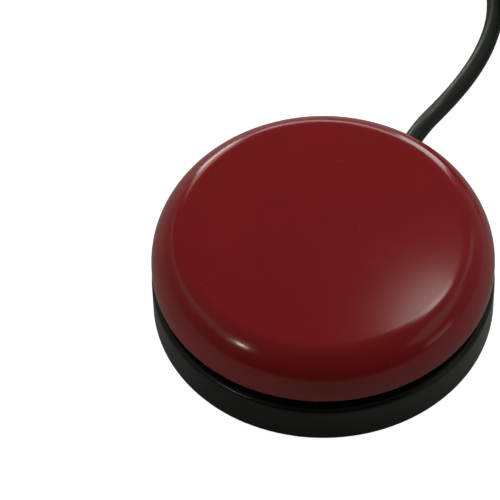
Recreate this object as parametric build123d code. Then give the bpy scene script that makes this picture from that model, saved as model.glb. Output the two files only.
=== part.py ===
from build123d import *
import math
import os

# Quiz buzzer: a red push cap on a round black base, with a snap switch inside and a cord to a plug.
# Millimetres. The origin is on the table under the base's centre, +Z is up and +Y is the cord's side.

# ---------------------------------------------------------------- driving sizes
CAP_RADIUS = 31.75
CAP_RIM_Z = 11.8
CAP_WALL = 2.0
SHOULDER_RADIUS = 9.0
SHOULDER_Z = 13.0
RIDGE_RADIUS = 4.5
RIDGE_TILT = 34.0
CROWN_RADIUS = 300.0

BASE_RADIUS = 31.9
BASE_WALL = 2.0
BASE_BOTTOM_Z = 0.5
FLOOR_Z = 3.0
LEDGE_Z = 9.0
LEDGE_THICKNESS = 1.5
COLLAR_INNER = 27.0
COLLAR_OUTER = 28.6
COLLAR_TOP_Z = 13.0

FOOT_COUNT = 6
FOOT_RADIUS = 3.5
FOOT_CIRCLE = 26.0
FOOT_RECESS = 1.1

POST_ANGLES = (30, 150, 270)
POST_CIRCLE = 19.0
POST_RADIUS = 2.5
POST_BOTTOM_Z = 5.55
SLEEVE_BORE = POST_RADIUS + 0.075
SLEEVE_RADIUS = 3.85
BOSS_RADIUS = 5.4
BOSS_TOP_Z = 6.8
STOP_BORE = 4.2
STOP_CEILING_Z = 5.6
WASHER_RADIUS = 3.9
WASHER_THICKNESS = 0.5

PLATE_RADIUS = 28.4
PLATE_BOTTOM_Z = 15.0
PLATE_TOP_Z = 16.8
TRAVEL = 1.8
SLEEVE_TOP_Z = PLATE_BOTTOM_Z - TRAVEL - 0.05
CAP_SCREW_CIRCLE = 22.0
CAP_SCREW_ANGLES = (90, 210, 330)

SPRING_WIRE = 0.6
SPRING_RADIUS = 4.5
SPRING_TURNS = 4.5

BOARD_BOTTOM_Z = 3.8
BOARD_TOP_Z = 5.4
BOARD_X = (-10.5, 10.5)
BOARD_Y = (-9.0, 7.0)
BOARD_SCREWS = ((8.2, 4.4), (-8.2, -6.6))
BOARD_PEGS = ((-8.2, 4.4), (8.2, -6.6))
WIRE_PADS = {"wire_red": (-3.4, 5.2), "wire_black": (3.4, 5.2)}

SWITCH_HALF_LENGTH = 6.4
SWITCH_HALF_WIDTH = 2.9
SWITCH_SPLIT_Y = 1.7
SWITCH_TOP_Z = 11.9
TERMINAL_X = (-5.08, 0.0, 5.08)
PLUNGER_X = -1.9
PLUNGER_RADIUS = 0.9
PIVOT_X = -5.2
PIVOT_Z = 12.3
PIVOT_RADIUS = 0.35
LEVER_ANGLE = 12.0
LEVER_LENGTH = 11.2
LEVER_THICKNESS = 0.3
NUB_X = 5.0
NUB_Z = 15.685
NUB_RADIUS = 1.0

CORD_DIAMETER = 3.5
CORD_RADIUS = CORD_DIAMETER / 2
EXIT_Z = 5.0
RELIEF_NECK_RADIUS = 2.8
RELIEF_TIP_Y = 38.0
CLAMP_Y = (21.0, 25.0)
CLAMP_SCREW_X = 5.4
CLAMP_BAR_Z = (5.6, 8.0)

COIL_CENTRE = (7.0, 115.0)
COIL_MEAN_RADIUS = 21.0
COIL_HALF_WIDTH = 6.1
COIL_HEIGHT = 4 * CORD_DIAMETER
COIL_START_ANGLE = 215.0
COIL_END_ANGLE = 100.0
COIL_TURN_RADIUS = 25.35
TIE_THICKNESS = 0.6
TIE_WIDTH = 8.0

PLUG_X = 39.8
PLUG_Z = 4.0
PLUG_REAR_Y = 107.9
PLUG_GRIP_Y = 99.9
PLUG_FRONT_Y = 81.9
PLUG_BODY_RADIUS = 4.0
SLEEVE_LENGTH = 9.0
JACK_RADIUS = 1.75
INSULATOR_LENGTH = 0.8
INSULATOR_RADIUS = 1.55
TIP_LENGTH = 4.2

# The cord's route outside the base, chosen by hand: out of the strain relief, down to the table and
# round towards the coil, and from the coil's top layer down to the plug.
LAYER_Z = TIE_THICKNESS + CORD_RADIUS
TOP_LAYER_Z = LAYER_Z + 3 * CORD_DIAMETER


def on_coil(angle, z):
    """A point on the coil's outermost turn."""
    x = COIL_CENTRE[0] + COIL_TURN_RADIUS * math.cos(math.radians(angle))
    y = COIL_CENTRE[1] + COIL_TURN_RADIUS * math.sin(math.radians(angle))
    return (x, y, z)


RUN_ROUTE = [
    (0.0, 36.0, EXIT_Z),
    (0.0, 42.1, EXIT_Z),
    (0.8, 52.5, 1.9),
    (2.0, 61.5, CORD_RADIUS),
    (1.9, 70.5, CORD_RADIUS),
    (-0.2, 80.0, CORD_RADIUS),
    (-6.6, 90.6, CORD_RADIUS),
    on_coil(COIL_START_ANGLE, LAYER_Z),
]
TAIL_ROUTE = [
    on_coil(COIL_END_ANGLE, TOP_LAYER_Z),
    (14.5, 141.4, TOP_LAYER_Z),
    (26.0, 137.9, 11.0),
    (34.9, 129.9, 7.8),
    (PLUG_X, 118.9, PLUG_Z),
    (PLUG_X, PLUG_REAR_Y, PLUG_Z),
]


# ---------------------------------------------------------------- shared shapes
def disc(radius, bottom, top, x=0.0, y=0.0):
    """An upright cylinder between two heights."""
    return Pos(x, y, (bottom + top) / 2) * Cylinder(radius, top - bottom)


def block(x_range, y_range, z_range):
    """A box between its low and high faces."""
    spans = (x_range, y_range, z_range)
    centre = [(low + high) / 2 for low, high in spans]
    sizes = [high - low for low, high in spans]
    return Pos(*centre) * Box(*sizes)


def rod_along_y(radius, start, end, x, z, end_radius=None):
    """A round bar along Y, tapered when end_radius is given."""
    if end_radius is None:
        end_radius = radius
    place = Pos(x, (start + end) / 2, z) * Rot(-90, 0, 0)
    if end_radius == radius:
        return place * Cylinder(radius, end - start)
    return place * Cone(radius, end_radius, end - start)


def around(circle, angles):
    """Places on a circle about the Z axis, by angle in degrees."""
    spots = []
    for angle in angles:
        turn = math.radians(angle)
        spots.append((circle * math.cos(turn), circle * math.sin(turn)))
    return spots


def turned(points):
    """A solid of revolution about Z from its outline of (radius, height) points."""
    outline = Polyline(*points, close=True)
    return revolve(Plane.XZ * make_face(outline), Axis.Z)


def pan_screw(x, y, seat_z, head_radius, head_height, shank_radius, shank_length, upward):
    """A pan-head screw with a cross recess. Its shank goes up or down from the seat under its head."""
    head = fillet(Cylinder(head_radius, head_height).edges().group_by(Axis.Z)[-1], head_height * 0.45)
    head = Pos(0, 0, head_height / 2) * head
    slot = Box(head_radius * 1.15, head_radius * 0.28, head_height * 0.9)
    recess = Pos(0, 0, head_height) * (slot + Rot(0, 0, 90) * slot)
    screw = head - recess + Pos(0, 0, -shank_length / 2) * Cylinder(shank_radius, shank_length)
    if upward:
        screw = Rot(180, 0, 0) * screw
    return Pos(x, y, seat_z) * screw


def route_path(points):
    """Straight runs joined by arcs as large as the two runs at each corner allow."""
    radii = []
    for before, corner, after in zip(points, points[1:], points[2:]):
        first = Vector(*corner) - Vector(*before)
        second = Vector(*after) - Vector(*corner)
        half_turn = math.radians(first.get_angle(second)) / 2
        shorter = min(first.length, second.length)
        radii.append(0.45 * shorter / math.tan(half_turn))
    return FilletPolyline(*points, radius=radii), radii


def cord_tube(name, points, radius):
    """A round cord along a route, with its radii and its volume printed for checking."""
    path, radii = route_path(points)
    section = Plane(origin=path @ 0, z_dir=path % 0) * Circle(radius)
    tube = sweep(section, path=path)
    expected = math.pi * radius ** 2 * path.length
    print(name, "radii", [round(value, 1) for value in radii], "length", round(path.length, 1),
          "volume ratio", round(tube.volume / expected, 4))
    return tube


# ---------------------------------------------------------------- base
def guide_sleeve(x, y):
    """A post's sleeve on the base floor, solid: its bores are cut later."""
    boss = disc(BOSS_RADIUS, BASE_BOTTOM_Z, BOSS_TOP_Z, x, y)
    return boss + disc(SLEEVE_RADIUS, BOSS_TOP_Z, SLEEVE_TOP_Z, x, y)


def base_housing():
    """The round tub with its ledge, inner collar, guide sleeves, board pads and clamp posts."""
    tub = disc(BASE_RADIUS, BASE_BOTTOM_Z, LEDGE_Z)
    tub = fillet(tub.edges().group_by(Axis.Z)[-1], 1.2)
    tub = fillet(tub.edges().group_by(Axis.Z)[0], 0.5)
    tub -= disc(BASE_RADIUS - BASE_WALL, FLOOR_Z, LEDGE_Z - LEDGE_THICKNESS)
    tub -= disc(COLLAR_INNER, FLOOR_Z, LEDGE_Z + 1)
    collar_foot = LEDGE_Z - LEDGE_THICKNESS
    collar = disc(COLLAR_OUTER, collar_foot, COLLAR_TOP_Z)
    collar -= disc(COLLAR_INNER, collar_foot - 1, COLLAR_TOP_Z + 1)
    collar = chamfer(collar.edges().group_by(Axis.Z)[-1], 0.3)
    housing = tub + collar

    for x, y in around(POST_CIRCLE, POST_ANGLES):
        housing += guide_sleeve(x, y)
    for x, y in BOARD_SCREWS + BOARD_PEGS:
        housing += disc(2.2, FLOOR_Z, BOARD_BOTTOM_Z, x, y)
    for x, y in BOARD_PEGS:
        housing += disc(0.95, BOARD_BOTTOM_Z, BOARD_TOP_Z + 0.5, x, y)
    for side in (-1, 1):
        housing += disc(2.3, FLOOR_Z, CLAMP_BAR_Z[0], side * CLAMP_SCREW_X, sum(CLAMP_Y) / 2)
    saddle = block((-2.2, 2.2), CLAMP_Y, (FLOOR_Z, 4.2))
    housing += saddle - rod_along_y(CORD_RADIUS, CLAMP_Y[0] - 1, CLAMP_Y[1] + 1, 0, EXIT_Z)

    for x, y in around(POST_CIRCLE, POST_ANGLES):
        housing -= disc(SLEEVE_BORE, BASE_BOTTOM_Z, SLEEVE_TOP_Z + 1, x, y)
        housing -= disc(STOP_BORE, BASE_BOTTOM_Z - 1, STOP_CEILING_Z, x, y)
    for x, y in around(FOOT_CIRCLE, foot_angles()):
        housing -= disc(FOOT_RADIUS, BASE_BOTTOM_Z - 1, BASE_BOTTOM_Z + FOOT_RECESS, x, y)
    for x, y in BOARD_SCREWS:
        housing -= disc(0.8, 1.8, BOARD_BOTTOM_Z + 1, x, y)
    for side in (-1, 1):
        housing -= disc(0.8, 1.8, CLAMP_BAR_Z[0] + 1, side * CLAMP_SCREW_X, sum(CLAMP_Y) / 2)
    return housing - rod_along_y(RELIEF_NECK_RADIUS, 29.0, 33.0, 0, EXIT_Z)


def foot_angles():
    return [index * 360 / FOOT_COUNT for index in range(FOOT_COUNT)]


def rubber_feet():
    """Round pads pressed into shallow recesses, standing 1 mm proud."""
    foot = disc(FOOT_RADIUS, 0, BASE_BOTTOM_Z + FOOT_RECESS)
    foot = fillet(foot.edges().group_by(Axis.Z)[0], 0.3)
    return [Pos(x, y, 0) * foot for x, y in around(FOOT_CIRCLE, foot_angles())]


# ---------------------------------------------------------------- button
def arc_point(centre, radius, tilt):
    """A point of an arc in the (radius, height) plane, by its normal's tilt from upright in degrees."""
    turn = math.radians(tilt)
    return (centre[0] + radius * math.sin(turn), centre[1] + radius * math.cos(turn))


def dome(inset):
    """The solid inside the cap's outline, moved inwards by inset: side, shoulder, ridge and crown."""
    shoulder_centre = (CAP_RADIUS - SHOULDER_RADIUS, SHOULDER_Z)
    ridge_centre = arc_point(shoulder_centre, SHOULDER_RADIUS - RIDGE_RADIUS, RIDGE_TILT)
    crown_tilt = math.degrees(math.asin(ridge_centre[0] / (CROWN_RADIUS - RIDGE_RADIUS)))
    crown_centre = (0, arc_point(ridge_centre, RIDGE_RADIUS - CROWN_RADIUS, crown_tilt)[1])

    outline = Curve() + [Line((0, CAP_RIM_Z), (CAP_RADIUS - inset, CAP_RIM_Z))]
    outline += Line((CAP_RADIUS - inset, CAP_RIM_Z), (CAP_RADIUS - inset, SHOULDER_Z))
    arcs = [
        (shoulder_centre, SHOULDER_RADIUS, 90, RIDGE_TILT),
        (ridge_centre, RIDGE_RADIUS, RIDGE_TILT, crown_tilt),
        (crown_centre, CROWN_RADIUS, crown_tilt, 0),
    ]
    for centre, radius, start, end in arcs:
        ends = [arc_point(centre, radius - inset, tilt) for tilt in (start, (start + end) / 2, end)]
        outline += ThreePointArc(*ends)
    outline += Line((0, crown_centre[1] + CROWN_RADIUS - inset), (0, CAP_RIM_Z))
    return revolve(Plane.XZ * make_face(outline), Axis.Z)


def button_cap():
    """The red shell, with three screw bosses under its crown."""
    shell = fillet(dome(0).edges().group_by(Axis.Z)[0], 0.35) - dome(CAP_WALL)
    for x, y in around(CAP_SCREW_CIRCLE, CAP_SCREW_ANGLES):
        shell += disc(2.6, PLATE_TOP_Z, 20.6, x, y)
        shell -= disc(0.95, PLATE_TOP_Z - 1, 19.8, x, y)
    return shell


def cap_carrier():
    """The plate that carries the cap, with its guide posts, stiffening ribs and switch nub."""
    carrier = disc(PLATE_RADIUS, PLATE_BOTTOM_Z, PLATE_TOP_Z)
    carrier = chamfer(carrier.edges().group_by(Axis.Z)[-1], 0.3)
    carrier += disc(12.0, PLATE_TOP_Z, 18.4) - disc(10.8, PLATE_TOP_Z - 1, 19)
    for angle in POST_ANGLES:
        carrier += Rot(0, 0, angle) * block((11.4, 26.0), (-0.6, 0.6), (PLATE_TOP_Z - 0.2, 18.4))
    for x, y in around(POST_CIRCLE, POST_ANGLES):
        carrier += disc(POST_RADIUS, POST_BOTTOM_Z, PLATE_BOTTOM_Z + 0.5, x, y)
    carrier += rod_along_y(NUB_RADIUS, -2.0, 2.0, NUB_X, NUB_Z)
    for x, y in around(CAP_SCREW_CIRCLE, CAP_SCREW_ANGLES):
        carrier -= disc(1.2, PLATE_BOTTOM_Z - 1, PLATE_TOP_Z + 1, x, y)
    for x, y in around(POST_CIRCLE, POST_ANGLES):
        carrier -= disc(1.2, POST_BOTTOM_Z - 1, 12.5, x, y)
    return carrier


def cap_screws():
    spots = around(CAP_SCREW_CIRCLE, CAP_SCREW_ANGLES)
    return [pan_screw(x, y, PLATE_BOTTOM_Z, 2.0, 1.1, 0.95, 4.6, True) for x, y in spots]


def stop_washers():
    """Washers under the posts, which stop the button against the base."""
    washer_bottom = POST_BOTTOM_Z - WASHER_THICKNESS
    washers = []
    for x, y in around(POST_CIRCLE, POST_ANGLES):
        washer = disc(WASHER_RADIUS, washer_bottom, POST_BOTTOM_Z, x, y)
        washers.append(washer - disc(1.25, washer_bottom - 1, POST_BOTTOM_Z + 1, x, y))
    return washers


def stop_screws():
    seat = POST_BOTTOM_Z - WASHER_THICKNESS
    return [pan_screw(x, y, seat, 2.3, 1.5, 1.2, 6.5, True) for x, y in around(POST_CIRCLE, POST_ANGLES)]


def return_springs():
    """Coil springs round the sleeves, between the bosses and the plate."""
    clearance = SPRING_WIRE / 2 + 0.02
    height = PLATE_BOTTOM_Z - BOSS_TOP_Z - 2 * clearance
    path = Helix(pitch=height / SPRING_TURNS, height=height, radius=SPRING_RADIUS)
    section = Plane(origin=path @ 0, z_dir=path % 0) * Circle(SPRING_WIRE / 2)
    spring = Pos(0, 0, BOSS_TOP_Z + clearance) * sweep(section, path=path, is_frenet=True)
    return [Pos(x, y, 0) * spring for x, y in around(POST_CIRCLE, POST_ANGLES)]


# ---------------------------------------------------------------- board and switch
def circuit_board():
    board = block(BOARD_X, BOARD_Y, (BOARD_BOTTOM_Z, BOARD_TOP_Z))
    board = fillet(board.edges().filter_by(Axis.Z), 1.0)
    for x, y in BOARD_SCREWS + BOARD_PEGS:
        board -= disc(1.0, BOARD_BOTTOM_Z - 1, BOARD_TOP_Z + 1, x, y)
    for x in TERMINAL_X:
        board -= disc(0.6, BOARD_BOTTOM_Z - 1, BOARD_TOP_Z + 1, x, 0)
    return board


def board_screws():
    return [pan_screw(x, y, BOARD_TOP_Z, 1.7, 1.0, 0.8, 3.2, False) for x, y in BOARD_SCREWS]


def switch_terminals():
    """Three flat legs from the switch down through the board."""
    return [block((x - 0.35, x + 0.35), (-0.25, 0.25), (3.2, BOARD_TOP_Z)) for x in TERMINAL_X]


def solder_joints():
    """Small cones of solder round the legs under the board, and round the wires' ends."""
    joints = []
    for x in TERMINAL_X:
        cone = Pos(x, 0, BOARD_BOTTOM_Z - 0.3) * Cone(0.55, 0.95, 0.6)
        joints.append(cone - block((x - 0.35, x + 0.35), (-0.25, 0.25), (3.0, BOARD_TOP_Z)))
    for x, y in WIRE_PADS.values():
        joints.append(Pos(x, y, BOARD_BOTTOM_Z - 0.3) * Cone(0.5, 0.95, 0.6))
    return joints


def pivot_ear(low_y, high_y):
    """A lug on top of the switch that holds one end of the lever's pin."""
    ear = block((PIVOT_X - 0.75, PIVOT_X + 0.75), (low_y, high_y), (SWITCH_TOP_Z - 0.2, PIVOT_Z + 0.7))
    return ear - rod_along_y(PIVOT_RADIUS + 0.05, low_y - 1, high_y + 1, PIVOT_X, PIVOT_Z)


def switch_body():
    """The larger half of the switch case, with the plunger's pocket."""
    x_range = (-SWITCH_HALF_LENGTH, SWITCH_HALF_LENGTH)
    body = block(x_range, (-SWITCH_HALF_WIDTH, SWITCH_SPLIT_Y), (BOARD_TOP_Z, SWITCH_TOP_Z))
    for x in (-4.75, 4.75):
        body -= rod_along_y(1.0, -SWITCH_HALF_WIDTH - 1, SWITCH_SPLIT_Y + 1, x, 7.6)
    body += pivot_ear(-2.6, -2.0)
    pocket_bottom = SWITCH_TOP_Z - 1.8
    return body - disc(PLUNGER_RADIUS + 0.07, pocket_bottom, SWITCH_TOP_Z + 1, PLUNGER_X, 0)


def switch_cover():
    """The thin half of the switch case."""
    x_range = (-SWITCH_HALF_LENGTH, SWITCH_HALF_LENGTH)
    cover = block(x_range, (SWITCH_SPLIT_Y, SWITCH_HALF_WIDTH), (BOARD_TOP_Z, SWITCH_TOP_Z))
    cover = chamfer(cover.edges().filter_by(Axis.X).group_by(Axis.Y)[-1], 0.25)
    for x in (-4.75, 4.75):
        cover -= rod_along_y(1.0, SWITCH_SPLIT_Y - 1, SWITCH_HALF_WIDTH + 1, x, 7.6)
    return cover + pivot_ear(2.0, 2.6)


def switch_plunger():
    plunger = disc(PLUNGER_RADIUS, SWITCH_TOP_Z - 1.3, 12.6, PLUNGER_X, 0)
    return chamfer(plunger.edges().group_by(Axis.Z)[-1], 0.2)


def switch_lever():
    """A steel strip on a pin, rising from the pin to the nub under the plate."""
    strip = Pos(LEVER_LENGTH / 2, 0, 0) * Box(LEVER_LENGTH, 3.6, LEVER_THICKNESS)
    strip = fillet(strip.edges().filter_by(Axis.Z).group_by(Axis.X)[-1], 0.8)
    strip = Pos(PIVOT_X, 0, PIVOT_Z) * Rot(0, -LEVER_ANGLE, 0) * strip
    return strip + rod_along_y(PIVOT_RADIUS, -2.55, 2.55, PIVOT_X, PIVOT_Z)


# ---------------------------------------------------------------- cord's fixings and wires
def strain_relief():
    """A rubber bush through the wall, tapering along the cord outside."""
    relief = block((-4.3, 4.3), (28.2, 29.5), (3.1, 7.4))
    relief += rod_along_y(RELIEF_NECK_RADIUS, 29.5, 31.95, 0, EXIT_Z)
    relief += rod_along_y(3.5, 31.95, 33.1, 0, EXIT_Z)
    relief += rod_along_y(3.1, 33.1, RELIEF_TIP_Y, 0, EXIT_Z, end_radius=2.15)
    return relief - rod_along_y(CORD_RADIUS, 27.0, RELIEF_TIP_Y + 1, 0, EXIT_Z)


def cord_inner():
    """The cord's end inside the base, through the clamp and the strain relief."""
    return rod_along_y(CORD_RADIUS, 20.0, RUN_ROUTE[0][1], 0, EXIT_Z)


def cable_clamp():
    """A bar that holds the cord down on its saddle."""
    bar = block((-7.6, 7.6), CLAMP_Y, CLAMP_BAR_Z)
    bar = fillet(bar.edges().filter_by(Axis.Z), 1.0)
    bar -= rod_along_y(CORD_RADIUS, CLAMP_Y[0] - 1, CLAMP_Y[1] + 1, 0, EXIT_Z)
    for side in (-1, 1):
        bar -= disc(1.0, CLAMP_BAR_Z[0] - 1, CLAMP_BAR_Z[1] + 1, side * CLAMP_SCREW_X, sum(CLAMP_Y) / 2)
    return bar


def clamp_screws():
    y = sum(CLAMP_Y) / 2
    spots = [(-CLAMP_SCREW_X, y), (CLAMP_SCREW_X, y)]
    return [pan_screw(x, y, CLAMP_BAR_Z[1], 1.7, 1.0, 0.8, 5.6, False) for x, y in spots]


def wire(name):
    """An insulated wire from the cord's end, over the board's edge and down to its pad."""
    pad_x, pad_y = WIRE_PADS[name]
    side = math.copysign(1, pad_x)
    points = [
        (side * 0.8, 20.0, EXIT_Z),
        (side * 0.8, 17.0, EXIT_Z),
        (side * 2.2, 12.5, 7.4),
        (pad_x, 8.3, 8.9),
        (pad_x, pad_y, 7.6),
        (pad_x, pad_y, BOARD_TOP_Z),
    ]
    return cord_tube(name, points, 0.6)


# ---------------------------------------------------------------- cord, coil and plug
def coil_section(grow):
    """The coil's cross-section, made larger all round by grow."""
    rounding = 2.6 + grow
    section = RectangleRounded(2 * (COIL_HALF_WIDTH + grow), COIL_HEIGHT + 2 * grow, rounding)
    return Plane.XZ * Pos(COIL_MEAN_RADIUS, TIE_THICKNESS + COIL_HEIGHT / 2) * section


def cord_coil():
    """The outer shape of the wound cord."""
    return Pos(*COIL_CENTRE, 0) * revolve(coil_section(0), Axis.Z)


def coil_tie():
    """A strap round the coil's bundle, on the side towards the base."""
    spread = math.degrees(TIE_WIDTH / COIL_MEAN_RADIUS)
    band = revolve(coil_section(TIE_THICKNESS) - coil_section(0), Axis.Z, revolution_arc=spread)
    return Pos(*COIL_CENTRE, 0) * Rot(0, 0, 270 - spread / 2) * band


def plug_body():
    """The moulded grip, with the taper where the cord goes in."""
    grip = rod_along_y(PLUG_BODY_RADIUS, PLUG_FRONT_Y, PLUG_GRIP_Y, PLUG_X, PLUG_Z)
    grip = chamfer(grip.edges().filter_by(GeomType.CIRCLE), 0.6)
    return grip + rod_along_y(3.2, PLUG_GRIP_Y, PLUG_REAR_Y, PLUG_X, PLUG_Z, end_radius=2.3)


def plug_sleeve():
    return rod_along_y(JACK_RADIUS, PLUG_FRONT_Y - SLEEVE_LENGTH, PLUG_FRONT_Y, PLUG_X, PLUG_Z)


def plug_insulator():
    front = PLUG_FRONT_Y - SLEEVE_LENGTH
    return rod_along_y(INSULATOR_RADIUS, front - INSULATOR_LENGTH, front, PLUG_X, PLUG_Z)


def plug_tip():
    """The contact tip: a neck, a bulge and a blunt cone."""
    rear = PLUG_FRONT_Y - SLEEVE_LENGTH - INSULATOR_LENGTH
    outline = [
        (0, 0),
        (INSULATOR_RADIUS, 0),
        (INSULATOR_RADIUS, 0.5),
        (1.15, 1.2),
        (1.15, 1.6),
        (1.7, 2.3),
        (1.1, 3.6),
        (0.4, TIP_LENGTH),
        (0, TIP_LENGTH),
    ]
    return Pos(PLUG_X, rear, PLUG_Z) * Rot(90, 0, 0) * turned(outline)


# ---------------------------------------------------------------- writing the pieces
def build_pieces():
    pieces = {
        "base_housing": base_housing(),
        "rubber_feet": rubber_feet(),
        "button_cap": button_cap(),
        "cap_carrier": cap_carrier(),
        "cap_screws": cap_screws(),
        "stop_washers": stop_washers(),
        "stop_screws": stop_screws(),
        "return_springs": return_springs(),
        "circuit_board": circuit_board(),
        "board_screws": board_screws(),
        "solder_joints": solder_joints(),
        "switch_body": switch_body(),
        "switch_cover": switch_cover(),
        "switch_terminals": switch_terminals(),
        "switch_plunger": switch_plunger(),
        "switch_lever": switch_lever(),
        "strain_relief": strain_relief(),
        "cable_clamp": cable_clamp(),
        "clamp_screws": clamp_screws(),
        "cord_inner": cord_inner(),
        "cord_run": cord_tube("cord_run", RUN_ROUTE, CORD_RADIUS),
        "cord_coil": cord_coil(),
        "cord_tail": cord_tube("cord_tail", TAIL_ROUTE, CORD_RADIUS),
        "coil_tie": coil_tie(),
        "plug_body": plug_body(),
        "plug_sleeve": plug_sleeve(),
        "plug_insulator": plug_insulator(),
        "plug_tip": plug_tip(),
    }
    for name in WIRE_PADS:
        pieces[name] = wire(name)
    return pieces


os.makedirs("parts", exist_ok=True)
for node, shape in build_pieces().items():
    solid = Compound(children=shape) if isinstance(shape, list) else shape
    export_step(solid, f"parts/{node}.step")
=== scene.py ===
import math

import bmesh
import bpy
from mathutils import Matrix, Vector


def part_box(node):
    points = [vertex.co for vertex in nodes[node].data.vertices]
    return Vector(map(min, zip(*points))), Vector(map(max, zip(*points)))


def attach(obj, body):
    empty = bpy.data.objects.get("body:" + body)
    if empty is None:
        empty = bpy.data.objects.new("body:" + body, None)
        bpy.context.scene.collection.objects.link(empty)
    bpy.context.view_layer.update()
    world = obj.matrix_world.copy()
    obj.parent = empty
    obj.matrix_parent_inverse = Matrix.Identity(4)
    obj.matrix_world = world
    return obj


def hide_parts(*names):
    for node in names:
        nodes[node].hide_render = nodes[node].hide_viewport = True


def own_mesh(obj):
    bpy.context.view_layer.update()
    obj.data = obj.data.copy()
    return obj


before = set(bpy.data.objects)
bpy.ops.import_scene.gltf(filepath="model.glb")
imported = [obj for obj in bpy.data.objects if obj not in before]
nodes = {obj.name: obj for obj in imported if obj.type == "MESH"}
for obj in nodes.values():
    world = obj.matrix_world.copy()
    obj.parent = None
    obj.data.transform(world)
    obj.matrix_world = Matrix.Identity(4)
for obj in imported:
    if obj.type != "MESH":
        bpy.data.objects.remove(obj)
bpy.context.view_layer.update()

MM = 0.001

# ---------------------------------------------------------------- places and sizes, metres
RELIEF_LOW, RELIEF_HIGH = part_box("strain_relief")
COIL_LOW, COIL_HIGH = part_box("cord_coil")
PLUG_LOW, PLUG_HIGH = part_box("plug_body")

CORD_DIAMETER = 3.5 * MM
EXIT_Z = (RELIEF_LOW.z + RELIEF_HIGH.z) / 2
FLOOR_Z = -0.05 * MM
FLOOR_HALF = 3.0
ON_AXIS = 0.0001 * MM

# The camera, in degrees and metres. Azimuth 0 looks along +Y, and it grows anticlockwise seen from above.
VIEW_AZIMUTH, VIEW_ELEVATION, VIEW_ROLL = 28.4, 52.0, -1.97
VIEW_DISTANCE = 0.624
VIEW_AIM = Vector((-0.01556, 0.00057, 0.00618))
LENS_MM, SENSOR_MM = 239.1, 36.0


# ---------------------------------------------------------------- camera
def set_camera():
    """Looks down at the object through a long lens."""
    azimuth, elevation, roll = (math.radians(angle) for angle in (VIEW_AZIMUTH, VIEW_ELEVATION, VIEW_ROLL))
    forward = Vector((-math.sin(azimuth) * math.cos(elevation), math.cos(azimuth) * math.cos(elevation),
                      -math.sin(elevation)))
    level = Vector((math.cos(azimuth), math.sin(azimuth), 0))
    upright = level.cross(forward)
    right = level * math.cos(roll) + upright * math.sin(roll)
    up = upright * math.cos(roll) - level * math.sin(roll)
    turn = Matrix((right, up, -forward)).transposed().to_4x4()
    data = bpy.data.cameras.new("camera")
    data.lens, data.sensor_width = LENS_MM, SENSOR_MM
    data.clip_start, data.clip_end = 0.01, 20
    camera = bpy.data.objects.new("camera", data)
    camera.matrix_world = Matrix.Translation(VIEW_AIM - forward * VIEW_DISTANCE) @ turn
    bpy.context.scene.collection.objects.link(camera)
    bpy.context.scene.camera = camera


# ---------------------------------------------------------------- node materials
class Nodes:
    """Short ways to add nodes to a node tree."""

    def __init__(self, tree):
        self.tree = tree

    def node(self, kind, **settings):
        made = self.tree.nodes.new(kind)
        for key, value in settings.items():
            setattr(made, key, value)
        return made

    def link(self, source, target):
        self.tree.links.new(source, target)

    def feed(self, target, value):
        """Links an output to a socket, or sets the socket to a plain value."""
        if isinstance(value, bpy.types.NodeSocket):
            self.link(value, target)
        else:
            target.default_value = value

    def calculate(self, operation, *values):
        made = self.node("ShaderNodeMath", operation=operation)
        for socket, value in zip(made.inputs, values):
            self.feed(socket, value)
        return made.outputs[0]

    def span(self, value, low, high, out_low=0.0, out_high=1.0):
        """Maps low..high smoothly to out_low..out_high."""
        made = self.node("ShaderNodeMapRange", interpolation_type="SMOOTHSTEP")
        for socket, number in zip(made.inputs, (value, low, high, out_low, out_high)):
            self.feed(socket, number)
        return made.outputs[0]

    def mix(self, factor, first, second):
        made = self.node("ShaderNodeMix", data_type="RGBA")
        self.feed(made.inputs[0], factor)
        self.feed(made.inputs[6], first)
        self.feed(made.inputs[7], second)
        return made.outputs[2]


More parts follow.
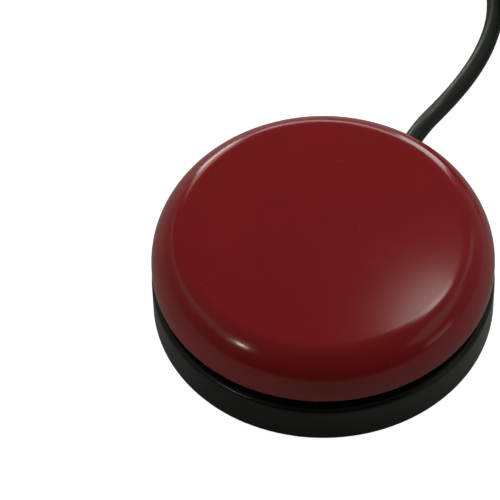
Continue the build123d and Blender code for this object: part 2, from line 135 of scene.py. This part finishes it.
class Finish(Nodes):
    """A procedural material in the making: Principled BSDF fed by noise in object space."""

    def __init__(self, name):
        self.material = bpy.data.materials.new(name)
        self.material.use_nodes = True
        super().__init__(self.material.node_tree)
        self.shader = self.tree.nodes["Principled BSDF"]
        self.place = self.node("ShaderNodeTexCoord").outputs["Object"]
        self.height = None

    def noise(self, size, detail=3.0, stretch=None):
        """Noise whose features are about size across, from 0 to 1."""
        made = self.node("ShaderNodeTexNoise")
        made.inputs["Scale"].default_value = 1 / size
        made.inputs["Detail"].default_value = detail
        made.inputs["Roughness"].default_value = 0.55
        place = self.place
        if stretch is not None:
            mapping = self.node("ShaderNodeMapping")
            mapping.inputs["Scale"].default_value = stretch
            self.link(place, mapping.inputs["Vector"])
            place = mapping.outputs[0]
        self.link(place, made.inputs["Vector"])
        return made.outputs["Fac"]

    def axes(self):
        made = self.node("ShaderNodeSeparateXYZ")
        self.link(self.place, made.inputs[0])
        return made.outputs[0], made.outputs[1], made.outputs[2]

    def radius(self):
        """Distance from the upright axis through the origin."""
        squares = [self.calculate("MULTIPLY", along, along) for along in self.axes()[:2]]
        return self.calculate("SQRT", self.calculate("ADD", *squares))

    def mark(self, x, y, angle, length, width):
        """1 along a fine line at x, y seen from above, turned by angle in degrees, and 0 beyond it."""
        along_x, along_y, _ = self.axes()
        offset_x = self.calculate("SUBTRACT", along_x, x)
        offset_y = self.calculate("SUBTRACT", along_y, y)
        cosine, sine = math.cos(math.radians(angle)), math.sin(math.radians(angle))
        along = self.calculate("ADD", self.calculate("MULTIPLY", offset_x, cosine),
                               self.calculate("MULTIPLY", offset_y, sine))
        across = self.calculate("SUBTRACT", self.calculate("MULTIPLY", offset_y, cosine),
                                self.calculate("MULTIPLY", offset_x, sine))
        inside_length = self.span(self.calculate("ABSOLUTE", along), length * 0.25, length * 0.5, 1.0, 0.0)
        inside_width = self.span(self.calculate("ABSOLUTE", across), 0.0, width * 0.5, 1.0, 0.0)
        return self.calculate("MULTIPLY", inside_length, inside_width)

    def raise_by(self, value, depth):
        """Adds value times depth, in metres, to the surface's height."""
        scaled = self.calculate("MULTIPLY", value, depth)
        self.height = scaled if self.height is None else self.calculate("ADD", self.height, scaled)

    def done(self, colour, roughness, metallic=0.0, ior=1.5):
        """Feeds the shader and returns the material."""
        self.feed(self.shader.inputs["Base Color"], colour)
        self.feed(self.shader.inputs["Roughness"], roughness)
        self.shader.inputs["Metallic"].default_value = metallic
        self.shader.inputs["IOR"].default_value = ior
        if self.height is not None:
            bump = self.node("ShaderNodeBump")
            bump.inputs["Strength"].default_value = 1.0
            bump.inputs["Distance"].default_value = 1.0
            self.link(self.height, bump.inputs["Height"])
            self.link(bump.outputs[0], self.shader.inputs["Normal"])
        return self.material


def moulded(name, colour, roughness, grain=0.25 * MM, depth=0.002 * MM, spread=0.25, ior=1.5):
    """Moulded plastic or rubber: mottled colour, uneven gloss and a fine grain."""
    finish = Finish(name)
    dark = [channel * (1 - spread) for channel in colour] + [1]
    light = [channel * (1 + spread) for channel in colour] + [1]
    mottle = finish.noise(6 * MM, detail=4)
    fine = finish.noise(grain, detail=2)
    finish.raise_by(fine, depth)
    finish.raise_by(finish.noise(3 * MM, detail=1), depth * 2)
    rough = finish.span(finish.noise(2.5 * MM, detail=5), 0.3, 0.75, roughness * 0.85, roughness * 1.2)
    return finish.done(finish.mix(mottle, dark, light), rough, ior=ior)


def metal(name, colour, roughness, stretch=(1, 1, 1), depth=0.0008 * MM):
    """Plated or drawn metal with fine marks, finer along the axes where stretch is larger."""
    finish = Finish(name)
    marks = finish.noise(0.15 * MM, detail=4, stretch=stretch)
    dull = [channel * 0.72 for channel in colour] + [1]
    stain = finish.span(finish.noise(1.6 * MM, detail=5), 0.5, 0.8)
    finish.raise_by(marks, depth)
    rough = finish.span(marks, 0.3, 0.7, roughness * 0.8, roughness * 1.3)
    return finish.done(finish.mix(stain, list(colour) + [1], dull), rough, metallic=1.0)


def paint(material, *names):
    """Gives CAD nodes or pieces this material in every slot."""
    for name in names:
        piece = nodes[name] if isinstance(name, str) else name
        if not piece.data.materials:
            piece.data.materials.append(material)
        for index in range(len(piece.data.materials)):
            piece.data.materials[index] = material


# ---------------------------------------------------------------- meshes
def piece_from(name, vertices, faces):
    """A smooth-shaded mesh object with its faces turned outwards."""
    mesh = bpy.data.meshes.new(name)
    mesh.from_pydata(vertices, [], faces)
    mesh.validate()
    work = bmesh.new()
    work.from_mesh(mesh)
    bmesh.ops.recalc_face_normals(work, faces=work.faces)
    work.to_mesh(mesh)
    work.free()
    mesh.shade_smooth()
    made = bpy.data.objects.new(name, mesh)
    bpy.context.scene.collection.objects.link(made)
    return made


def arc(centre, radius, start, end, steps):
    """Points of an arc in the (radius, height) plane, angles in degrees."""
    points = []
    for step in range(steps + 1):
        angle = math.radians(start + (end - start) * step / steps)
        points.append((centre[0] + radius * math.cos(angle), centre[1] + radius * math.sin(angle)))
    return points


def lathe(name, outline, segments, place):
    """A closed solid of revolution about Z, put in place. outline is a loop of (radius, height)."""
    vertices, rings, faces = [], [], []
    for radius, height in outline:
        if radius < ON_AXIS:
            rings.append([len(vertices)] * segments)
            vertices.append(place @ Vector((0, 0, height)))
            continue
        rings.append(list(range(len(vertices), len(vertices) + segments)))
        for step in range(segments):
            angle = 2 * math.pi * step / segments
            vertices.append(place @ Vector((radius * math.cos(angle), radius * math.sin(angle), height)))
    closed = outline[0][0] > ON_AXIS or outline[-1][0] > ON_AXIS
    pairs = list(zip(rings, rings[1:])) + ([(rings[-1], rings[0])] if closed else [])
    for low, high in pairs:
        for step in range(segments):
            after = (step + 1) % segments
            corner = [low[step], low[after], high[after], high[step]]
            face = [v for index, v in enumerate(corner) if v not in corner[:index]]
            if len(face) > 2:
                faces.append(face)
    return piece_from(name, vertices, faces)


set_camera()


# ---------------------------------------------------------------- cord
COIL_CENTRE = ((COIL_LOW.x + COIL_HIGH.x) / 2, (COIL_LOW.y + COIL_HIGH.y) / 2)
COIL_START_ANGLE, COIL_END_ANGLE = 215.0, 100.0
COIL_OUTER_TURN, COIL_INNER_TURN = 25.35 * MM, 16.65 * MM
COIL_LAYERS, COIL_WHOLE_TURNS = 4, 10
COIL_CLIMB = 40.0
POINTS_PER_TURN = 24
LAYER_Z = COIL_LOW.z + CORD_DIAMETER / 2
PLUG_X = (PLUG_LOW.x + PLUG_HIGH.x) / 2
PLUG_Z = (PLUG_LOW.z + PLUG_HIGH.z) / 2

# The route's points: out of the strain relief and down to the table, and from the coil to the plug.
RUN_ROUTE = [
    (0.0, 36.0 * MM, EXIT_Z),
    (0.0, 42.1 * MM, EXIT_Z),
    (0.8 * MM, 52.5 * MM, 1.9 * MM),
    (2.0 * MM, 61.5 * MM, CORD_DIAMETER / 2),
    (1.9 * MM, 70.5 * MM, CORD_DIAMETER / 2),
    (-0.2 * MM, 80.0 * MM, CORD_DIAMETER / 2),
    (-6.6 * MM, 90.6 * MM, CORD_DIAMETER / 2),
]
TAIL_ROUTE = [
    (14.5 * MM, 141.4 * MM, LAYER_Z + 3 * CORD_DIAMETER),
    (26.0 * MM, 137.9 * MM, 11.0 * MM),
    (34.9 * MM, 129.9 * MM, 7.8 * MM),
    (PLUG_X, 118.9 * MM, PLUG_Z),
    (PLUG_X, PLUG_HIGH.y, PLUG_Z),
]


def coil_route():
    """About ten turns wound clockwise in four layers: in, up, out, up, in, up, out."""
    whole = COIL_START_ANGLE - COIL_END_ANGLE + COIL_WHOLE_TURNS * 360
    layer_sweep = (whole - (COIL_LAYERS - 1) * COIL_CLIMB) / COIL_LAYERS
    steps = round(whole / 360 * POINTS_PER_TURN)
    route = []
    for step in range(steps + 1):
        swept = whole * step / steps
        layer = min(int(swept // (layer_sweep + COIL_CLIMB)), COIL_LAYERS - 1)
        within = swept - layer * (layer_sweep + COIL_CLIMB)
        across = min(within / layer_sweep, 1)
        climb = max(within - layer_sweep, 0) / COIL_CLIMB
        if layer % 2:
            across = 1 - across
        radius = COIL_OUTER_TURN + (COIL_INNER_TURN - COIL_OUTER_TURN) * across
        angle = math.radians(COIL_START_ANGLE - swept)
        route.append((COIL_CENTRE[0] + radius * math.cos(angle), COIL_CENTRE[1] + radius * math.sin(angle),
                      LAYER_Z + (layer + climb) * CORD_DIAMETER))
    return route


def make_cord(material):
    """The whole free cord: one smooth spline through the run, the coil and the tail."""
    points = RUN_ROUTE + coil_route() + TAIL_ROUTE
    data = bpy.data.curves.new("cord", "CURVE")
    data.dimensions = "3D"
    data.bevel_depth = CORD_DIAMETER / 2
    data.bevel_resolution = 6
    data.resolution_u = 5
    data.use_fill_caps = True
    line = data.splines.new("NURBS")
    line.points.add(len(points) - 1)
    for point, place in zip(line.points, points):
        point.co = (*place, 1)
    line.order_u = 3
    line.use_endpoint_u = True
    line.use_smooth = True
    made = bpy.data.objects.new("cord", data)
    bpy.context.scene.collection.objects.link(made)
    data.materials.append(material)
    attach(made, "base")
    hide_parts("cord_run", "cord_coil", "cord_tail")
    return made


# ---------------------------------------------------------------- strain relief and plug grip
def along_y(x, z):
    """Puts a lathe's axis along +Y through x, z, so that its heights become y."""
    return Matrix.Translation((x, 0, z)) @ Matrix.Rotation(math.radians(-90), 4, "X")


def ribs(start, pitch, count, groove, depth, radius_at):
    """Outline points of ribs with chamfered edges on a body of radius radius_at(y), grooves between."""
    points = []
    edge = 0.12 * MM
    for index in range(count):
        low, high = start + index * pitch, start + (index + 1) * pitch - groove
        inner = radius_at(high) - depth
        points += [(inner, low), (radius_at(low) - edge, low), (radius_at(low), low + edge)]
        points += [(radius_at(high), high - edge), (radius_at(high) - edge, high), (inner, high)]
    return points


def add_block(piece, low, high, rounding):
    """Adds a block with rounded edges to a piece's mesh."""
    work = bmesh.new()
    size = [top - bottom for bottom, top in zip(low, high)]
    centre = [(top + bottom) / 2 for bottom, top in zip(low, high)]
    bmesh.ops.create_cube(work, size=1.0)
    bmesh.ops.scale(work, vec=size, verts=work.verts)
    bmesh.ops.translate(work, vec=centre, verts=work.verts)
    bmesh.ops.bevel(work, geom=work.edges, offset=rounding, segments=3, affect="EDGES", profile=0.5)
    work.from_mesh(piece.data)
    work.to_mesh(piece.data)
    work.free()
    piece.data.shade_smooth()


def make_relief():
    """A rubber bush through the wall: a flange inside, a rounded collar outside and a ribbed taper."""
    bore, neck, collar = CORD_DIAMETER / 2, 2.8 * MM, 3.5 * MM
    thick, thin = 3.1 * MM, 2.15 * MM
    wall_inside, wall_outside, collar_end = 29.4 * MM, 31.95 * MM, 33.1 * MM
    tip = RELIEF_HIGH.y
    rounding = 0.3 * MM

    def taper(y):
        return thick + (thin - thick) * (y - collar_end) / (tip - collar_end)

    outline = [(bore, wall_inside), (neck, wall_inside), (neck, wall_outside)]
    outline += arc((collar - rounding, wall_outside + rounding), rounding, -90, 0, 4)
    outline += arc((collar - rounding, collar_end - rounding), rounding, 0, 90, 4)
    outline += ribs(collar_end + 0.3 * MM, 1.15 * MM, 4, 0.4 * MM, 0.38 * MM, taper)
    outline += [(bore, outline[-1][1])]
    relief = lathe("strain_relief_boot", outline, 64, along_y(0, EXIT_Z))
    flange_low = (RELIEF_LOW.x, RELIEF_LOW.y, 3.1 * MM)
    flange_high = (RELIEF_HIGH.x, 29.5 * MM, 7.4 * MM)
    add_block(relief, flange_low, flange_high, rounding=0.25 * MM)
    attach(relief, "base")
    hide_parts("strain_relief")
    return relief


def make_plug_grip():
    """The plug's moulded grip: finger ribs round its middle and a ribbed boot where the cord goes in."""
    radius, grip_end = (PLUG_HIGH.x - PLUG_LOW.x) / 2, 99.9 * MM
    front, rear = PLUG_LOW.y, PLUG_HIGH.y
    rounding = 0.8 * MM
    thick, thin = 3.2 * MM, 2.3 * MM

    def boot(y):
        return thick + (thin - thick) * (y - grip_end) / (rear - grip_end)

    outline = [(0, front), (2.6 * MM, front)]
    outline += arc((radius - rounding, front + rounding), rounding, -90, 0, 5)
    outline += ribs(front + 4.5 * MM, 1.5 * MM, 6, 0.55 * MM, 0.45 * MM, lambda y: radius)[1:-1]
    outline += arc((radius - rounding, grip_end - rounding), rounding, 0, 90, 5)
    outline += ribs(grip_end + 0.5 * MM, 1.25 * MM, 6, 0.45 * MM, 0.5 * MM, boot)
    outline += [(0, outline[-1][1])]
    grip = lathe("plug_grip", outline, 72, along_y(PLUG_X, PLUG_Z))
    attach(grip, "base")
    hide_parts("plug_body")
    return grip


cord_finish = moulded("cord_jacket", (0.012, 0.0185, 0.0140), 0.38, grain=0.12 * MM, ior=1.42)
soft_black = moulded("soft_black", (0.016, 0.0175, 0.016), 0.5, grain=0.12 * MM, depth=0.003 * MM)
cord = make_cord(cord_finish)
relief = make_relief()
plug_grip = make_plug_grip()
paint(soft_black, relief, plug_grip)


# ---------------------------------------------------------------- finishes of the CAD pieces
# Light scratches and nicks in the cap: x, y, angle in degrees, length and width, in millimetres.
CAP_MARKS = (
    (-13.6, -19.4, 52, 4.9, 0.14),
    (-14.5, -19.2, 47, 2.2, 0.08),
    (26.0, -13.8, 20, 1.0, 0.40),
    (23.1, -19.5, 80, 0.8, 0.35),
    (-25.6, 6.2, 40, 0.7, 0.30),
    (-4.1, -27.1, 60, 0.6, 0.25),
    (6.0, 3.0, 115, 3.0, 0.06),
    (-4.0, 16.0, 30, 4.0, 0.05),
)


def red_cap():
    """Deep red glossy moulded plastic with a fine grain, slightly uneven gloss and light scratches."""
    finish = Finish("red_cap")
    grain = finish.noise(0.22 * MM, detail=2)
    finish.raise_by(grain, 0.0007 * MM)
    scratches = None
    for x, y, angle, length, width in CAP_MARKS:
        line = finish.mark(x * MM, y * MM, angle, length * MM, width * MM)
        scratches = line if scratches is None else finish.calculate("MAXIMUM", scratches, line)
    finish.raise_by(scratches, -0.006 * MM)
    mottle = finish.span(finish.noise(9 * MM, detail=3), 0.25, 0.75)
    colour = finish.mix(mottle, (0.294, 0.0120, 0.0142, 1), (0.315, 0.0131, 0.0154, 1))
    gloss = finish.span(finish.radius(), 22 * MM, 30 * MM, 0.158, 0.155)
    uneven = finish.span(finish.noise(4 * MM, detail=4), 0.2, 0.8, -0.012, 0.012)
    worn = finish.calculate("MULTIPLY", scratches, 0.2)
    return finish.done(colour, finish.calculate("ADD", finish.calculate("ADD", gloss, uneven), worn))


def make_springs():
    """The three return springs as one piece, a copy of the CAD node attached to the base body."""
    springs = bpy.data.objects.new("return_spring_coils", nodes["return_springs"].data.copy())
    springs.matrix_world = nodes["return_springs"].matrix_world.copy()
    bpy.context.scene.collection.objects.link(springs)
    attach(springs, "base")
    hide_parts("return_springs")
    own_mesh(springs)
    return springs


paint(red_cap(), "button_cap")
paint(moulded("black_base", (0.006, 0.0080, 0.0055), 0.22, grain=0.3 * MM, depth=0.0012 * MM, ior=1.45),
      "base_housing")
paint(moulded("black_rubber", (0.016, 0.0165, 0.016), 0.62, grain=0.1 * MM, depth=0.006 * MM),
      "rubber_feet")
paint(moulded("white_nylon", (0.62, 0.60, 0.54), 0.45, spread=0.05), "cap_carrier")
paint(moulded("switch_case", (0.02, 0.02, 0.022), 0.5, grain=0.08 * MM, depth=0.004 * MM),
      "switch_body", "switch_cover")
paint(moulded("red_pin", (0.42, 0.02, 0.015), 0.4), "switch_plunger")
paint(moulded("black_nylon", (0.02, 0.02, 0.02), 0.5, grain=0.1 * MM, depth=0.003 * MM),
      "cable_clamp")
paint(moulded("red_insulation", (0.36, 0.012, 0.012), 0.4), "wire_red")
paint(moulded("black_insulation", (0.015, 0.015, 0.016), 0.4), "wire_black")
paint(metal("zinc_plate", (0.56, 0.56, 0.54), 0.34),
      "cap_screws", "stop_screws", "board_screws", "clamp_screws", "stop_washers")
paint(metal("spring_wire", (0.48, 0.48, 0.49), 0.3), make_springs())
paint(metal("rolled_strip", (0.60, 0.60, 0.61), 0.28, stretch=(0.1, 1, 1)), "switch_lever")
paint(metal("tinned_brass", (0.72, 0.60, 0.36), 0.3), "switch_terminals")
paint(metal("solder", (0.58, 0.59, 0.61), 0.25), "solder_joints")
paint(metal("nickel_plate", (0.66, 0.65, 0.62), 0.16, stretch=(1, 8, 1), depth=0.0003 * MM),
      "plug_sleeve", "plug_tip")
paint(moulded("black_ring", (0.02, 0.02, 0.02), 0.4), "plug_insulator")
paint(moulded("green_board", (0.012, 0.10, 0.035), 0.3, grain=0.4 * MM), "circuit_board")
paint(moulded("looped_strap", (0.013, 0.013, 0.014), 0.85, grain=0.3 * MM, depth=0.08 * MM, ior=1.35),
      "coil_tie")
paint(cord_finish, "cord_inner")


# ---------------------------------------------------------------- stage and light
def make_floor():
    """A wide pale sheet just under the feet, with an even white glow for the camera's own rays."""
    finish = Finish("pale_floor")
    tone = finish.mix(finish.noise(20 * MM, detail=4), (0.44, 0.455, 0.425, 1), (0.48, 0.495, 0.465, 1))
    finish.raise_by(finish.noise(1.5 * MM, detail=3), 0.02 * MM)
    seen = finish.node("ShaderNodeLightPath").outputs["Is Camera Ray"]
    finish.link(finish.calculate("MULTIPLY", seen, 0.95), finish.shader.inputs["Emission Strength"])
    finish.shader.inputs["Emission Color"].default_value = (1, 1, 1, 1)
    corners = [(x * FLOOR_HALF, y * FLOOR_HALF, FLOOR_Z) for x, y in ((-1, -1), (1, -1), (1, 1), (-1, 1))]
    floor = piece_from("floor", corners, [(0, 1, 2, 3)])
    paint(finish.done(tone, 0.7), floor)


def towards(azimuth, elevation):
    """A direction from the object. Azimuth 0 is straight behind it as the camera sees it, 90 its right."""
    turn = math.radians(VIEW_AZIMUTH - azimuth)
    rise = math.radians(elevation)
    return Vector((-math.sin(turn) * math.cos(rise), math.cos(turn) * math.cos(rise), math.sin(rise)))


def soft_light(name, azimuth, elevation, distance, size, power, glossy=True, roll=0, colour=(1, 1, 1)):
    """A rectangular soft light that faces the object, turned about its own axis by roll in degrees."""
    data = bpy.data.lights.new(name, "AREA")
    data.shape = "RECTANGLE"
    data.size, data.size_y = size
    data.energy = power
    data.color = colour
    light = bpy.data.objects.new(name, data)
    direction = towards(azimuth, elevation)
    light.location = direction * distance
    facing = direction.to_track_quat("Z", "Y").to_matrix() @ Matrix.Rotation(math.radians(roll), 3, "Z")
    light.rotation_euler = facing.to_euler()
    light.visible_glossy = glossy
    bpy.context.scene.collection.objects.link(light)


def make_world():
    """A dim room with a pale sweep along the horizon behind and beside the object."""
    world = bpy.data.worlds.new("room")
    world.use_nodes = True
    nodes_of = Nodes(world.node_tree)
    background = world.node_tree.nodes["Background"]
    split = nodes_of.node("ShaderNodeSeparateXYZ")
    nodes_of.link(nodes_of.node("ShaderNodeTexCoord").outputs["Generated"], split.inputs[0])
    along_x, along_y, along_z = split.outputs

    behind = towards(0, 0)
    depth = nodes_of.calculate("ADD", nodes_of.calculate("MULTIPLY", along_x, behind.x),
                               nodes_of.calculate("MULTIPLY", along_y, behind.y))
    low_down = nodes_of.span(along_z, 0.15, 0.45, 1.0, 0.0)
    sweep = nodes_of.calculate("MULTIPLY", low_down, nodes_of.span(depth, -0.4, 0.6))
    room = nodes_of.span(depth, -0.8, -0.3, 0.024, 0.080)
    strength = nodes_of.calculate("ADD", room, nodes_of.calculate("MULTIPLY", sweep, 0.10))
    nodes_of.link(strength, background.inputs["Strength"])
    background.inputs["Color"].default_value = (0.98, 1.0, 0.97, 1)
    bpy.context.scene.world = world


make_floor()
make_world()

# Name, azimuth, elevation, distance in metres, width and height in metres, power in watts.
soft_light("side_right", 72, 38, 1.2, (0.9, 0.7), 3.0, glossy=False)
soft_light("side_left", -75, 38, 1.2, (0.9, 0.7), 2.3, glossy=False)
soft_light("back_left", -19, 12, 1.0, (0.20, 0.25), 1.00, colour=(1.0, 0.96, 0.87))
soft_light("back_left_glow", -19, 26, 1.0, (0.24, 0.20), 0.36, colour=(1.0, 0.96, 0.87))
soft_light("back_middle", 2, 18, 1.0, (0.50, 0.20), 0.80, roll=-28)
soft_light("back_right", 22, 12, 1.0, (0.22, 0.42), 1.10)
soft_light("lamp", 39, 62, 0.5, (0.167, 0.075), 0.225, colour=(1.0, 0.93, 0.86))
soft_light("lamp_side", 66, 62, 0.5, (0.14, 0.08), 0.018, colour=(1.0, 0.93, 0.86))
soft_light("left_band", -80, 30, 0.9, (1.5, 0.18), 0.23, roll=16)
soft_light("left_spark", -124, 36, 0.8, (0.06, 0.04), 0.27, colour=(1.0, 0.96, 0.86))
soft_light("right_band", 88, 34, 0.9, (1.2, 0.24), 0.30)
soft_light("right_low", 112, 9, 0.9, (0.30, 0.12), 0.08)
bpy.context.scene.view_settings.view_transform = "Standard"
